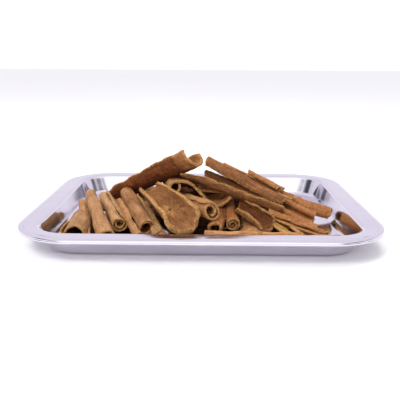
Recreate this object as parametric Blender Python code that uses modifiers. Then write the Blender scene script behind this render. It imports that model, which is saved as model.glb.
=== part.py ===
"""A heap of cinnamon sticks in a pressed steel tray.

Two solids: the tray, with its flat rim, rolled lip and sloping walls, and the heap, one
body of rolled and half-open bark pieces fused over a smaller core. Driving dimensions are
in millimetres. X runs along the tray's width, Y towards its back edge, Z up, and the
origin is at the middle of the tray's underside.
"""

import math
from collections import namedtuple

import bmesh
import bpy
from mathutils import Matrix, Vector

MM = 0.001

# Tray
TRAY_WIDTH = 270
TRAY_DEPTH = 230
TRAY_HEIGHT = 18.4
SHEET = 0.8
RIM = 16.6
LIP_RADIUS = 1.2
LIP_DROP = 3.1
WALL_INSET = 5.4
RIM_BEND = 3.5
FLOOR_BEND = 5.0
OUTER_CORNER = 46
INNER_CORNER = 24
CORNER_STEPS = 7
BEND_STEPS = 3

# Bark
BARK = 1.8
LAYER_GAP = 0.5
ARC_STEP = 36
BOWED_RINGS = 4
LOWEST = SHEET + 0.3

# The core that the sticks are fused to, as mounds: centre, half sizes and height
Mound = namedtuple("Mound", "name x y half_x half_y height")
MOUNDS = [
    Mound("main_mound", 2, 8, 54, 40, 24),
    Mound("left_mound", -62, -14, 36, 40, 9),
    Mound("right_mound", 60, -18, 36, 30, 10),
]
MOUND_SEGMENTS = 16
MOUND_RINGS = 8


def quill(across, turns=1.3, hand=1, wall=BARK):
    """Middle line of one rolled sheet, wound in from its top, to the left for hand 1 and right for -1."""
    pitch = wall + LAYER_GAP
    steps = max(4, round(turns * 360 / ARC_STEP))
    line = []
    for k in range(steps + 1):
        turned = turns * 360 * k / steps
        radius = across / 2 - wall / 2 - pitch * turned / 360
        angle = math.radians(90 + hand * turned)
        line.append(Vector((radius * math.cos(angle), radius * math.sin(angle))))
    return line, wall


def curl(arcs, wall=BARK):
    """Middle line of a sheet that keeps turning left, along arcs of (first radius, last radius, degrees)."""
    total = sum(sweep for _, _, sweep in arcs)
    heading = -math.radians(total) / 2
    line = [Vector((0, 0))]
    for first, last, sweep in arcs:
        steps = max(2, round(sweep / ARC_STEP))
        turn = math.radians(sweep) / steps
        for k in range(steps):
            radius = first + (last - first) * (k + 0.5) / steps
            chord = 2 * radius * math.sin(turn / 2)
            heading += turn / 2
            line.append(line[-1] + chord * Vector((math.cos(heading), math.sin(heading))))
            heading += turn / 2
    return centred(line), wall


def pair(left, right, wall=1.4):
    """One sheet with both edges rolled in on top, into two scrolls of these outer diameters side by side."""
    pitch = wall + LAYER_GAP
    tightest = 0.8 * wall
    arcs = []
    for across in (left, right):
        outside = (across - wall) / 2
        turns = min(1.15, (outside - tightest) / pitch)
        arcs.append((outside - pitch * turns, outside, 360 * turns))
    bend = 10
    radius = ((left + right) / 2 + LAYER_GAP) / math.radians(bend)
    inside, outside, sweep = arcs[1]
    return curl([arcs[0], (radius, radius, bend), (outside, inside, sweep)], wall)


def trough(across, sweep=180, wall=2.2):
    """A half-open curl, as wide outside as across."""
    half = math.radians(min(sweep, 180) / 2)
    radius = (across / 2) / math.sin(half) - wall / 2
    return curl([(radius, radius, sweep)], wall)


def centred(line):
    """The line moved so that its box is centred on the origin."""
    low = Vector((min(p.x for p in line), min(p.y for p in line)))
    high = Vector((max(p.x for p in line), max(p.y for p in line)))
    return [p - (low + high) / 2 for p in line]


# One piece of bark: the middles of its two ends, roll in degrees clockwise as seen from the start,
# taper as the end's width over the start's, bow as the rise of its middle, and nose as the length
# by which the middle of the sheet reaches past its edges at the start. A slant is how much further
# out that end reaches for each millimetre to the right and up.
Stick = namedtuple(
    "Stick",
    "name section start end roll taper bow nose slant_start slant_end",
    defaults=(0, 1.0, 0, 0, (0, 0), (0, 0)),
)

STICKS = [
    # Left group, mostly pointing away from the front edge
    Stick("broad_quill", quill(20, 1.2), (-92, -84, 11.2), (-97.5, 4, 11.4), 200, 0.8),
    Stick("leaning_quill", quill(16, 1.3), (-68.3, -86, 9.2), (-94, -10, 24.2), 210, 0.7),
    Stick("leaning_roll", trough(6.4, 280, 1.7), (-80.5, -85, 7), (-99.6, -20, 21), 100, 0.8),
    Stick("flap_quill", quill(15.5, 2.3, -1), (-64.5, -46, 9), (-88, 20, 16), 6, 0.75),
    Stick("thin_quill", quill(8, 1.1, 1, 1.5), (-46.5, -71, 5.5), (-71.5, 2, 15), 40, 0.9),
    Stick("tall_quill", quill(15.4, 1.9, 1, 1.5), (-41.8, -56, 8.8), (-66, 8, 21), 200, 0.9),
    # Quills whose ends show in the middle
    Stick(
        "open_scroll", curl([(200, 200, 5.5), (23, 20, 55), (4.8, 3.9, 300)], 2.2),
        (-9.3, -23, 26.2), (-21, 30, 23), 51, 0.9,
    ),
    Stick("short_quill", quill(16.5, 1.6, -1, 2), (8.4, -50, 20.6), (-18, -3, 19), -40, 0.85, 0, 0, (0, -0.2)),
    Stick("low_quill", trough(12, 330, 2.6), (10.8, -52, 8.1), (19, 8, 13), 160, 0.95),
    Stick("between_quill", quill(11, 1.3), (19.5, -41, 8), (18, 4, 14), 90, 0.9),
    Stick("knot_quill", quill(12.5, 1.7), (25, -46, 9), (23, 6, 15), 150, 0.85),
    # Right group, leaning down to the right
    Stick("ridge_quill", quill(11.5, 1.4), (4, -6, 53), (68, -22, 21), 120, 0.9),
    Stick("ridge_roll", trough(5.5, 290, 1.4), (18, 3, 48.4), (46, -3, 35), 90),
    Stick("ridge_pair", pair(6.5, 7.5), (37, -1, 39.3), (63.5, -12, 26), 20, 0.95),
    Stick("back_quill", quill(8.5, 1.2, 1, 1.5), (41.5, 5, 38.9), (70.5, -0.5, 26), 100, 0.95),
    Stick("end_quill", quill(12.5, 1.2), (70, 10, 15.8), (111.6, -3.5, 7.6), 150, 1.0),
    Stick("end_pair", pair(7.5, 8.5), (58, -10, 20), (92.5, -26, 7.4), 30, 0.95),
    Stick("low_ridge", quill(9.5, 1.3), (53, -32, 16), (98, -60, 6), 90, 0.65),
    Stick("front_quill", quill(9.5, 1.2), (2.5, -68, 8), (77, -68, 6.9), 180, 0.9),
    # Half-open curls
    Stick("cup_curl", trough(28, 128, 2.8), (14, -24, 22.6), (12, 12, 24), -11, 0.9),
    Stick("broken_curl", trough(17, 225), (52.5, -52, 11), (29.5, -26, 20), -20, 0.85, 1, 2, (0, 0), (0.5, 0)),
    Stick("arch_curl", trough(24, 110, 2.6), (41.5, -60, 4.8), (44, -12, 7), 180, 0.9),
    Stick("dark_curl", trough(13, 190), (2, -3, 41.5), (60, -20, 21.5), 160, 0.9),
    Stick("long_slab", trough(11, 100, 2.6), (-7.5, -16, 40.8), (68, -35, 17), -65, 0.85, 0, 11),
    # Narrow strips
    Stick("edge_strip", trough(10, 110), (-104, -66, 6.9), (-102.4, -44, 9), 60, 0.9),
    Stick("edge_slab", trough(10, 90), (-37, -44, 8), (-55, 2, 20), 70, 0.9),
    Stick("low_chip", trough(11, 110), (-32.5, -64, 6.5), (-49, -12, 18), 150, 0.6),
    Stick("front_chip", trough(8, 100), (-26.5, -69, 5.4), (-33, -52, 7), 170, 0.5),
    Stick("shelf_strip", trough(9, 60, 1.6), (-3.8, -16, 31.5), (21, -11, 27.5), 20, 0.8),
    Stick("top_chip", trough(11, 70), (64.5, -1, 26.5), (80, -7, 20.6), 10, 0.9),
    Stick("low_strip", trough(8, 90), (56, -38, 12.3), (90, -62, 5.8), 150, 0.8),
    Stick("green_strip", trough(8, 70), (57.5, -44, 9.8), (71, -69, 6.2), 165, 1.3),
    Stick("corner_strip", trough(6, 100), (67.4, -44, 10), (79, -67, 6.4), 150, 0.85),
    Stick("front_strip", trough(8, 120), (81, -70, 7), (106, -65, 6.2), 180, 0.8),
    # The wide scoop-shaped curl
    Stick("scoop_curl", trough(31, 175, 4.2), (-13.5, -57, 15), (-44, -17, 32), -14, 0.6, 2, 7),
    # The large dark curl that leans across the top
    Stick("top_curl", trough(22, 190, 2.3), (-86, 36, 7.2), (-5, -15, 57.8), -13, 1.23, 1.5),
    # Underneath and behind
    Stick("left_prop", quill(12, 1.3), (-102, 14, 7.5), (-50, 24, 9), 150, 0.9),
    Stick("left_floor_curl", trough(16, 170), (-84, -30, 7), (-48, 40, 7), 180, 0.9),
    Stick("back_floor_quill", quill(12, 1.4), (-72, 52, 7.4), (-8, 66, 7.6), 60, 0.95),
    Stick("back_left_quill", quill(11, 1.3), (-58, 22, 19), (-34, 64, 13), 190, 0.9),
    Stick("back_pair", pair(7, 11), (-30, 26, 26), (-6, 74, 12), 0, 0.9),
    Stick("back_trough", trough(18, 170), (-6, 20, 27), (22, 78, 7), 175, 0.9),
    Stick("back_long_quill", quill(11, 1.4, -1), (8, 82, 6.8), (78, 58, 6.8), 80, 0.95),
    Stick("back_right_quill", quill(13, 1.3), (26, 24, 25), (48, 72, 14), 20, 0.9),
    Stick("back_slab", trough(15, 90), (20, 42, 22), (70, 36, 14), 170, 0.8),
    Stick("right_prop", quill(12, 1.5), (56, 18, 14), (92, 42, 7.2), 200, 0.9),
    Stick("right_floor_quill", quill(12, 1.3, -1), (34, -8, 9), (94, 14, 7.2), 120, 0.95),
    Stick("right_floor_curl", trough(14, 160), (40, -24, 8), (92, -44, 6.5), 180, 0.85),
    Stick("scoop_prop", quill(12, 1.4), (-40, -18, 12), (-8, -32, 11), 60, 0.9),
    Stick("middle_prop", quill(12, 1.4), (-36, -8, 18), (24, 4, 20), 20, 1.0),
    Stick("peak_prop", quill(12, 1.3, -1), (-28, -2, 35), (34, 8, 32), 100, 0.9),
    Stick("saddle_quill", quill(11, 1.3), (12, 18, 32), (58, 44, 20), 140, 0.95),
    Stick("saddle_curl", trough(16, 170), (26, -2, 29), (72, 30, 15), 180, 0.9),
]


def frame_of(stick, t):
    """Matrix that places a section at share t of the stick: X across it, Y up from it, Z along it."""
    start, end = Vector(stick.start), Vector(stick.end)
    along = (end - start).normalized()
    side = along.cross(Vector((0, 0, 1))).normalized()
    up = side.cross(along)
    place = start.lerp(end, t) + up * stick.bow * 4 * t * (1 - t)
    turned = Matrix.Rotation(math.radians(stick.roll), 3, along)
    axes = Matrix((turned @ side, turned @ up, along)).transposed()
    return Matrix.Translation(place) @ axes.to_4x4()


def band(section):
    """The two faces of a sheet, as lists of points either side of its middle line."""
    line, wall = section
    outer, inner = [], []
    for k, point in enumerate(line):
        before = line[max(k - 1, 0)]
        after = line[min(k + 1, len(line) - 1)]
        tangent = (after - before).normalized()
        normal = Vector((tangent.y, -tangent.x))
        outer.append(point + normal * wall / 2)
        inner.append(point - normal * wall / 2)
    return outer, inner


def stick_mesh(stick):
    """The closed mesh of one piece of bark."""
    outer, inner = band(stick.section)
    loop = outer + inner[::-1]
    count, width = len(loop), len(outer)
    rings = BOWED_RINGS if stick.bow else 2
    bm = bmesh.new()
    verts = []
    for r in range(rings):
        t = r / (rings - 1)
        matrix = frame_of(stick, t)
        scale = 1 + (stick.taper - 1) * t
        for k, point in enumerate(loop):
            across = 2 * min(k, count - 1 - k) / (width - 1) - 1
            aside, above = Matrix.Rotation(-math.radians(stick.roll), 2) @ point
            reach = (stick.slant_end[0] * aside + stick.slant_end[1] * above) * t
            reach -= (stick.slant_start[0] * aside + stick.slant_start[1] * above) * (1 - t)
            reach -= stick.nose * (1 - across * across) * (1 - t)
            place = matrix @ Vector((point.x * scale, point.y * scale, reach))
            verts.append(bm.verts.new(place * MM))
    lift = max(LOWEST * MM - min(vert.co.z for vert in verts), 0)
    for vert in verts:
        vert.co.z += lift
    for r in range(rings - 1):
        for k in range(count):
            a, b = r * count + k, r * count + (k + 1) % count
            bm.faces.new((verts[a], verts[b], verts[b + count], verts[a + count]))
    for first in (0, (rings - 1) * count):
        for k in range(width - 1):
            across = count - 1 - k
            corners = (k, k + 1, across - 1, across)
            bm.faces.new([verts[first + c] for c in corners])
    bmesh.ops.recalc_face_normals(bm, faces=bm.faces)
    mesh = bpy.data.meshes.new(stick.name)
    bm.to_mesh(mesh)
    bm.free()
    return mesh


def add_object(name, mesh, collection, material=None):
    made = bpy.data.objects.new(name, mesh)
    collection.objects.link(made)
    if material:
        made.data.materials.append(material)
    return made


def add_material(name, color, roughness, metallic):
    material = bpy.data.materials.new(name)
    material.use_nodes = True
    shader = material.node_tree.nodes["Principled BSDF"]
    shader.inputs["Base Color"].default_value = (*color, 1)
    shader.inputs["Roughness"].default_value = roughness
    shader.inputs["Metallic"].default_value = metallic
    return material


def add_collection(name):
    made = bpy.data.collections.new(name)
    bpy.context.scene.collection.children.link(made)
    return made


def rounded_rectangle(inset, corner):
    """Outline of the tray at this distance in from its outer edge, anticlockwise."""
    half_x, half_y = TRAY_WIDTH / 2 - inset, TRAY_DEPTH / 2 - inset
    points = []
    for quarter, (sx, sy) in enumerate(((1, 1), (-1, 1), (-1, -1), (1, -1))):
        for k in range(CORNER_STEPS + 1):
            angle = math.radians(90 * (quarter + k / CORNER_STEPS))
            x = sx * (half_x - corner) + corner * math.cos(angle)
            y = sy * (half_y - corner) + corner * math.sin(angle)
            points.append((x, y))
    return points


def tray_profile():
    """(inset, height) down the tray's upper side: lip, rim, wall and floor."""
    lip = [(0, TRAY_HEIGHT - LIP_DROP)]
    for k in range(BEND_STEPS + 1):
        angle = math.radians(90 * k / BEND_STEPS)
        inset = LIP_RADIUS * (1 - math.cos(angle))
        lip.append((inset, TRAY_HEIGHT - LIP_RADIUS * (1 - math.sin(angle))))
    slope = math.atan2(TRAY_HEIGHT - SHEET, WALL_INSET)
    rim_end = RIM - RIM_BEND * math.tan(slope / 2)
    floor_start = RIM + WALL_INSET + FLOOR_BEND * math.tan(slope / 2)
    wall_top = []
    wall_foot = []
    for k in range(BEND_STEPS + 1):
        turned = slope * k / BEND_STEPS
        drop = RIM_BEND * (1 - math.cos(turned))
        rise = FLOOR_BEND * (1 - math.cos(turned))
        wall_top.append((rim_end + RIM_BEND * math.sin(turned), TRAY_HEIGHT - drop))
        wall_foot.append((floor_start - FLOOR_BEND * math.sin(turned), SHEET + rise))
    return lip + wall_top + wall_foot[::-1]


def build_tray(collection):
    """One pressed sheet, lofted down its rounded outline and thickened downwards."""
    bm = bmesh.new()
    rings = []
    for inset, height in tray_profile():
        blend = min(inset / RIM, 1)
        corner = OUTER_CORNER + (INNER_CORNER - OUTER_CORNER) * blend
        outline = rounded_rectangle(inset, corner)
        rings.append([bm.verts.new((x * MM, y * MM, height * MM)) for x, y in outline])
    for upper, lower in zip(rings, rings[1:]):
        count = len(upper)
        for k in range(count):
            after = (k + 1) % count
            bm.faces.new((upper[k], upper[after], lower[after], lower[k]))
    bm.faces.new(rings[-1])
    bm.normal_update()
    mesh = bpy.data.meshes.new("tray")
    bm.to_mesh(mesh)
    bm.free()
    steel = add_material("steel", (0.72, 0.72, 0.76), 0.18, 1.0)
    tray = add_object("tray", mesh, collection, steel)
    solidify = tray.modifiers.new("sheet", "SOLIDIFY")
    solidify.thickness = SHEET * MM
    solidify.offset = -1
    solidify.use_even_offset = True
    tray.data.shade_smooth()
    tray.data.set_sharp_from_angle(angle=math.radians(40))
    return tray


def add_mound(mound, collection):
    """Half an ellipsoid, a little clear of the tray's floor."""
    bm = bmesh.new()
    bmesh.ops.create_uvsphere(bm, u_segments=MOUND_SEGMENTS, v_segments=MOUND_RINGS, radius=1)
    bmesh.ops.bisect_plane(
        bm,
        geom=bm.verts[:] + bm.edges[:] + bm.faces[:],
        plane_co=(0, 0, 0),
        plane_no=(0, 0, -1),
        clear_outer=True,
    )
    bmesh.ops.holes_fill(bm, edges=[edge for edge in bm.edges if edge.is_boundary])
    for vert in bm.verts:
        x = mound.x + vert.co.x * mound.half_x
        y = mound.y + vert.co.y * mound.half_y
        z = LOWEST + vert.co.z * mound.height
        vert.co = Vector((x, y, z)) * MM
    bmesh.ops.recalc_face_normals(bm, faces=bm.faces)
    mesh = bpy.data.meshes.new(mound.name)
    bm.to_mesh(mesh)
    bm.free()
    return add_object(mound.name, mesh, collection)


def shells_of(bm):
    """The faces of each closed shell."""
    left = set(bm.faces)
    shells = []
    while left:
        waiting = [left.pop()]
        shell = []
        while waiting:
            face = waiting.pop()
            shell.append(face)
            for edge in face.edges:
                for neighbour in edge.link_faces:
                    if neighbour in left:
                        left.remove(neighbour)
                        waiting.append(neighbour)
        shells.append(shell)
    return shells


def keep_main_shell(mesh):
    """Fills the sealed hollows and drops the scraps, by keeping only the shell with the most faces."""
    bm = bmesh.new()
    bm.from_mesh(mesh)
    shells = sorted(shells_of(bm), key=len)
    for shell in shells[:-1]:
        bmesh.ops.delete(bm, geom=shell, context="FACES")
    bm.to_mesh(mesh)
    bm.free()


def build_heap(collection):
    """Every stick and mound, joined into one solid."""
    loose = add_collection("loose_bark")
    core = add_mound(MOUNDS[0], collection)
    for mound in MOUNDS[1:]:
        add_mound(mound, loose)
    for stick in STICKS:
        add_object(stick.name, stick_mesh(stick), loose)
    core.name = "cinnamon_heap"
    join = core.modifiers.new("fuse", "BOOLEAN")
    join.operation = "UNION"
    join.operand_type = "COLLECTION"
    join.collection = loose
    join.solver = "EXACT"
    evaluated = core.evaluated_get(bpy.context.evaluated_depsgraph_get())
    fused = bpy.data.meshes.new_from_object(evaluated)
    keep_main_shell(fused)
    core.modifiers.clear()
    core.data = fused
    fused.name = "cinnamon_heap"
    for piece in list(loose.objects):
        bpy.data.objects.remove(piece)
    bpy.data.collections.remove(loose)
    core.data.materials.clear()
    core.data.materials.append(add_material("bark", (0.45, 0.25, 0.12), 0.75, 0.0))
    return core


def main():
    for old in list(bpy.data.objects):
        bpy.data.objects.remove(old)
    collection = add_collection("cinnamon_tray")
    build_tray(collection)
    build_heap(collection)


main()
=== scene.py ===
"""Cinnamon sticks in a steel tray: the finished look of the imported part.

Every piece of bark is one sheet, rolled or half open, modelled with its true thickness, its
broken ends and its frayed edges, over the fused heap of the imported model. The tray is pressed
from one sheet of polished steel.
"""

import math
from collections import namedtuple

import bmesh
import bpy
import numpy as np
from mathutils import Matrix, Vector


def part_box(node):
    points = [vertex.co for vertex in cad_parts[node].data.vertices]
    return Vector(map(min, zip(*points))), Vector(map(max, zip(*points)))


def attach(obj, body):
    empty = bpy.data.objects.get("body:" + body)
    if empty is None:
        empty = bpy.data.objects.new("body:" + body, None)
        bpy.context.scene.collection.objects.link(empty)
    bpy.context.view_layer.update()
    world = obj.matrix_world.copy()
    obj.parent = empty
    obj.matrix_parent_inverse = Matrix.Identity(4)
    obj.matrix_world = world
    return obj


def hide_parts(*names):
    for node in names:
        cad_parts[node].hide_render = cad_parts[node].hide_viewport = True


bl_info = {
    "name": "Cinnamon sticks in a tray",
    "version": (1, 0, 0),
    "blender": (4, 5, 0),
    "location": "3D View > Sidebar > Cinnamon",
    "description": "Builds rolled cinnamon bark, a steel tray and a plain studio around them",
    "category": "Add Mesh",
}

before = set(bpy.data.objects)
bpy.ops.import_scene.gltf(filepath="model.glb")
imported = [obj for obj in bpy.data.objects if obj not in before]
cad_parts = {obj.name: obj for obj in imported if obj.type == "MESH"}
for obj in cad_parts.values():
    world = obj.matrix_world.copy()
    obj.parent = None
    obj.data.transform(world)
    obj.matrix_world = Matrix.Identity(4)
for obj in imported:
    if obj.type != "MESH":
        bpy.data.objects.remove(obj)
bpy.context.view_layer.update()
TRAY_LOW, TRAY_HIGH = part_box("tray")

MM = 0.001
ROOT = "root"
HEAP = "cinnamon_heap"
TRAY = "tray"
# The lowest that bark may lie: the tray's floor and a hair of air over it
SHEET_TOP = 0.95 * MM


def srgb(red, green, blue):
    """A colour given as 0 to 255 in sRGB, as the linear values that nodes take."""
    linear = []
    for value in (red, green, blue):
        share = value / 255
        linear.append(share / 12.92 if share <= 0.04045 else ((share + 0.055) / 1.055) ** 2.4)
    return tuple(linear)


class TraySizes(bpy.types.PropertyGroup):
    """The pressed tray. Its width, depth and height are the frame's."""

    sheet: bpy.props.FloatProperty(
        name="Sheet", description="Thickness of the steel", default=0.8 * MM, unit="LENGTH"
    )
    rim: bpy.props.FloatProperty(
        name="Rim", description="Width of the flat rim", default=16.6 * MM, unit="LENGTH"
    )
    wall_inset: bpy.props.FloatProperty(
        name="Wall inset", description="How far in the wall's foot is", default=5.4 * MM, unit="LENGTH"
    )
    lip_radius: bpy.props.FloatProperty(
        name="Lip radius", description="Bend at the outer edge", default=1.2 * MM, unit="LENGTH"
    )
    lip_drop: bpy.props.FloatProperty(
        name="Lip drop", description="Height of the turned-down lip", default=3.1 * MM, unit="LENGTH"
    )
    bead: bpy.props.FloatProperty(
        name="Bead", description="Width of the rim's rounded outer edge", default=4.6 * MM, unit="LENGTH"
    )
    sag: bpy.props.FloatProperty(
        name="Sag", description="How far that edge falls", default=0.35 * MM, unit="LENGTH"
    )
    notch: bpy.props.FloatProperty(
        name="Notch", description="Depth of the lines that mark the bead", default=0.3 * MM, unit="LENGTH"
    )
    rim_bend: bpy.props.FloatProperty(
        name="Rim bend", description="Bend from rim to wall", default=3.5 * MM, unit="LENGTH"
    )
    floor_bend: bpy.props.FloatProperty(
        name="Floor bend", description="Bend from wall to floor", default=5 * MM, unit="LENGTH"
    )
    outer_corner: bpy.props.FloatProperty(
        name="Outer corner", description="Corner radius of the rim's edge", default=46 * MM, unit="LENGTH"
    )
    inner_corner: bpy.props.FloatProperty(
        name="Inner corner", description="Corner radius of the wall", default=24 * MM, unit="LENGTH"
    )
    color: bpy.props.FloatVectorProperty(
        name="Steel", description="Colour of the steel", default=(0.74, 0.705, 0.78), subtype="COLOR"
    )


class BarkSizes(bpy.types.PropertyGroup):
    """What all the pieces of bark share."""

    mesh_step: bpy.props.FloatProperty(
        name="Mesh step", description="Mesh spacing where it shows", default=0.75 * MM, unit="LENGTH"
    )
    hidden_step: bpy.props.FloatProperty(
        name="Hidden step", description="Mesh spacing underneath", default=1.3 * MM, unit="LENGTH"
    )
    relief: bpy.props.FloatProperty(
        name="Relief", description="Height of the bark's ridges", default=0.13 * MM, unit="LENGTH"
    )
    wave: bpy.props.FloatProperty(
        name="Wave", description="Height of the slow waves in a sheet", default=0.32 * MM, unit="LENGTH"
    )
    fray: bpy.props.FloatProperty(
        name="Fray", description="How deep the broken ends are", default=0.9 * MM, unit="LENGTH"
    )
    tan: bpy.props.FloatVectorProperty(
        name="Tan bark", description="Outside of pale pieces", default=srgb(182, 140, 96), subtype="COLOR"
    )
    russet: bpy.props.FloatVectorProperty(
        name="Russet bark", description="Outside of red pieces", default=srgb(180, 116, 66), subtype="COLOR"
    )
    inside: bpy.props.FloatVectorProperty(
        name="Inside", description="Inner side of the bark", default=srgb(152, 98, 56), subtype="COLOR"
    )
    cut: bpy.props.FloatVectorProperty(
        name="Cut edge", description="Broken edges and ends", default=srgb(198, 150, 92), subtype="COLOR"
    )
    dark: bpy.props.FloatVectorProperty(
        name="Dark bark", description="The large dark curl", default=srgb(112, 60, 26), subtype="COLOR"
    )


class StageSizes(bpy.types.PropertyGroup):
    """The camera and the studio."""

    distance: bpy.props.FloatProperty(
        name="Distance", description="Camera to the point it looks at", default=0.4975, unit="LENGTH"
    )
    target: bpy.props.FloatVectorProperty(
        name="Target", description="Point it looks at", default=(-0.00139, 0.01002, 0.015), unit="LENGTH"
    )
    elevation: bpy.props.FloatProperty(
        name="Elevation", description="Camera above the floor", default=math.radians(14.22), unit="ROTATION"
    )
    azimuth: bpy.props.FloatProperty(
        name="Azimuth", description="Camera to the right", default=math.radians(0.55), unit="ROTATION"
    )
    roll: bpy.props.FloatProperty(
        name="Roll", description="Camera tilted anticlockwise", default=math.radians(0.32), unit="ROTATION"
    )
    lens: bpy.props.FloatProperty(
        name="Lens", description="Focal length on a 36 mm sensor", default=50.7, unit="CAMERA"
    )
    daylight: bpy.props.FloatProperty(
        name="Daylight", description="Strength of the white surroundings", default=1.08, min=0
    )


# Sections of the rolled sheet, in millimetres. Each gives its middle line, its thickness and the
# side of the line that faces out.
Section = namedtuple("Section", "line wall out")
BARK = 1.8
LAYER_GAP = 0.5
ARC_STEP = 6


def quill(across, turns=1.3, hand=1, wall=BARK):
    """One rolled sheet, wound in from its top, to the left for hand 1 and right for -1."""
    pitch = wall + LAYER_GAP
    turned = np.linspace(0, turns * 360, max(12, round(turns * 360 / ARC_STEP)))
    radius = across / 2 - wall / 2 - pitch * turned / 360
    angle = np.radians(90 + hand * turned)
    return Section(np.stack([radius * np.cos(angle), radius * np.sin(angle)], 1), wall, hand)


def curl(arcs, wall=BARK):
    """A sheet that keeps turning left, along arcs of (first radius, last radius, degrees)."""
    heading = -math.radians(sum(sweep for _, _, sweep in arcs)) / 2
    line = [np.zeros(2)]
    for first, last, sweep in arcs:
        steps = max(3, round(sweep / ARC_STEP))
        turn = math.radians(sweep) / steps
        for k in range(steps):
            radius = first + (last - first) * (k + 0.5) / steps
            heading += turn / 2
            chord = 2 * radius * math.sin(turn / 2)
            line.append(line[-1] + chord * np.array((math.cos(heading), math.sin(heading))))
            heading += turn / 2
    line = np.array(line)
    return Section(line - (line.min(0) + line.max(0)) / 2, wall, 1)


def pair(left, right, wall=1.4):
    """One sheet with both edges rolled in on top, into two scrolls of these outer diameters."""
    pitch = wall + LAYER_GAP
    tightest = 0.8 * wall
    arcs = []
    for across in (left, right):
        outside = (across - wall) / 2
        turns = min(1.15, (outside - tightest) / pitch)
        arcs.append((outside - pitch * turns, outside, 360 * turns))
    bend = 10
    radius = ((left + right) / 2 + LAYER_GAP) / math.radians(bend)
    inside, outside, sweep = arcs[1]
    return curl([arcs[0], (radius, radius, bend), (outside, inside, sweep)], wall)


def trough(across, sweep=180, wall=2.2):
    """A half-open curl, as wide outside as across."""
    half = math.radians(min(sweep, 180) / 2)
    radius = (across / 2) / math.sin(half) - wall / 2
    return curl([(radius, radius, sweep)], wall)


# One piece of bark: the middles of its two ends, roll in degrees clockwise as seen from the start,
# taper as the end's width over the start's, bow as the rise of its middle, and nose as the length
# by which the middle of the sheet reaches past its edges at the start. A slant is how much further
# out that end reaches for each millimetre to the right and up.
Stick = namedtuple(
    "Stick",
    "name section start end roll taper bow nose slant_start slant_end",
    defaults=(0, 1.0, 0, 0, (0, 0), (0, 0)),
)

LEFT_QUILLS = [
    Stick("broad_quill", quill(20, 1.2), (-92, -84, 11.2), (-97.5, 4, 11.4), 200, 0.8),
    Stick("leaning_quill", quill(16, 1.3), (-68.3, -86, 9.2), (-94, -10, 24.2), 210, 0.7),
    Stick("leaning_roll", trough(6.4, 280, 1.7), (-80.5, -85, 7), (-99.6, -20, 21), 100, 0.8),
    Stick("flap_quill", quill(15.5, 2.3, -1), (-64.5, -46, 9), (-88, 20, 16), 6, 0.75),
    Stick("thin_quill", quill(8, 1.1, 1, 1.5), (-46.5, -71, 5.5), (-71.5, 2, 15), 40, 0.9),
    Stick("tall_quill", quill(15.4, 1.9, 1, 1.5), (-41.8, -56, 8.8), (-66, 8, 21), 200, 0.9),
]
MIDDLE_QUILLS = [
    Stick(
        "open_scroll", curl([(200, 200, 5.5), (23, 20, 55), (4.8, 3.9, 300)], 2.2),
        (-9.3, -23, 26.2), (-21, 30, 23), 51, 0.9,
    ),
    Stick(
        "short_quill", quill(16.5, 1.6, -1, 2),
        (8.4, -50, 20.6), (-18, -3, 19), -40, 0.85, 0, 0, (0, -0.2),
    ),
    Stick("low_quill", trough(12, 330, 2.6), (10.8, -52, 8.1), (19, 8, 13), 160, 0.95),
    Stick("between_quill", quill(11, 1.3), (19.5, -41, 8), (18, 4, 14), 90, 0.9),
    Stick("knot_quill", quill(12.5, 2.2, 1, 1.6), (25, -46, 9), (23, 6, 15), 150, 0.85),
]
RIGHT_QUILLS = [
    Stick("ridge_quill", quill(11.5, 1.4), (4, -6, 53), (68, -22, 21), 120, 0.9),
    Stick("ridge_roll", trough(5.5, 290, 1.4), (18, 3, 48.4), (46, -3, 35), 90),
    Stick("ridge_pair", pair(6.5, 7.5), (37, -1, 39.3), (63.5, -12, 26), 20, 0.95),
    Stick("back_quill", quill(8.5, 1.2, 1, 1.5), (41.5, 5, 38.9), (70.5, -0.5, 26), 100, 0.95),
    Stick("end_quill", quill(12.5, 1.2), (70, 10, 15.8), (111.6, -3.5, 7.6), 150, 1.0),
    Stick("end_pair", pair(7.5, 8.5), (58, -10, 20), (92.5, -26, 7.4), 30, 0.95),
    Stick("low_ridge", quill(9.5, 1.3), (53, -32, 16), (98, -60, 6), 90, 0.65),
    Stick("front_quill", quill(9.5, 1.2), (2.5, -68, 8), (77, -68, 6.9), 180, 0.9),
]
OPEN_CURLS = [
    Stick("cup_curl", trough(28, 128, 2.8), (14, -24, 22.6), (12, 12, 24), -11, 0.9),
    Stick(
        "broken_curl", trough(17, 225),
        (52.5, -52, 11), (29.5, -26, 20), -20, 0.85, 1, 2, (0, 0), (0.5, 0),
    ),
    Stick("arch_curl", trough(24, 110, 2.6), (41.5, -60, 4.8), (44, -12, 7), 180, 0.9),
    # This curl lies in shade under the ridge quill; its darkness is painted shade, set by its tone
    Stick("dark_curl", trough(13, 190), (2, -3, 41.5), (60, -20, 21.5), 160, 0.9),
    Stick("long_slab", trough(11, 100, 2.6), (-7.5, -16, 40.8), (68, -35, 17), -65, 0.85, 0, 11),
]
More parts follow.
